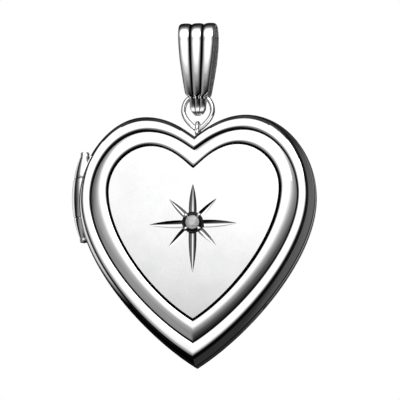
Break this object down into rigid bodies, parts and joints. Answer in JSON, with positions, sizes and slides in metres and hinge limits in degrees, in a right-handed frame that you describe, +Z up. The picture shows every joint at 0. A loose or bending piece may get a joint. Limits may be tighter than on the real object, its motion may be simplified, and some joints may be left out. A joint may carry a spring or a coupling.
{
  "type": "heart locket",
  "caption": "Hinged heart-shaped photo locket with stepped borders, a bead-set stone in an engraved star, link and fluted bail.",
  "frame": {"origin": "middle of the chain passage in the bail", "axes": "+Z up along the hanging piece, -Y out of the front cover, +X to the right as the front is looked at"},
  "size_m": [0.0245, 0.0062, 0.0348],
  "materials": {
    "polished_silver": "mirror-polished rhodium-plated silver",
    "satin_silver": "satin heart field inside mirror-polished stepped borders",
    "inner_silver": "bright-dipped silver strip",
    "pin_steel": "drawn wire",
    "clear_plastic": "thin clear acetate sheet",
    "card_paper": "plain card",
    "cut_stone": "round single-cut stone"
  },
  "bodies": {
    "bail": {"bail": "polished_silver"},
    "link": {"jump_ring": "polished_silver"},
    "back_half": {"back_shell": "polished_silver", "back_knuckle_lower": "polished_silver", "back_knuckle_upper": "polished_silver", "hinge_pin": "pin_steel", "snap_rim": "inner_silver", "opening_lip": "polished_silver", "back_picture_frame": "inner_silver", "back_window": "clear_plastic", "back_picture_card": "card_paper", "hanging_eye": "polished_silver"},
    "front_cover": {"front_shell": "satin_silver", "front_knuckle": "polished_silver", "front_picture_frame": "inner_silver", "front_window": "clear_plastic", "front_picture_card": "card_paper", "stone_setting": "polished_silver", "diamond": "cut_stone"}
  },
  "joints": [
    {"name": "link_swing", "type": "hinge", "parent": "bail", "child": "link", "pos_m": [0, 0, -0.0056], "axis": [1, 0, 0], "range_deg": [-20, 20]},
    {"name": "locket_swing", "type": "hinge", "parent": "link", "child": "back_half", "pos_m": [0, 0, -0.00904], "axis": [1, 0, 0], "range_deg": [-45, 45]},
    {"name": "cover_opening", "type": "hinge", "parent": "back_half", "child": "front_cover", "pos_m": [-0.0114, 0, -0.0157], "axis": [0, 0, -1], "range_deg": [0, 150]}
  ]
}
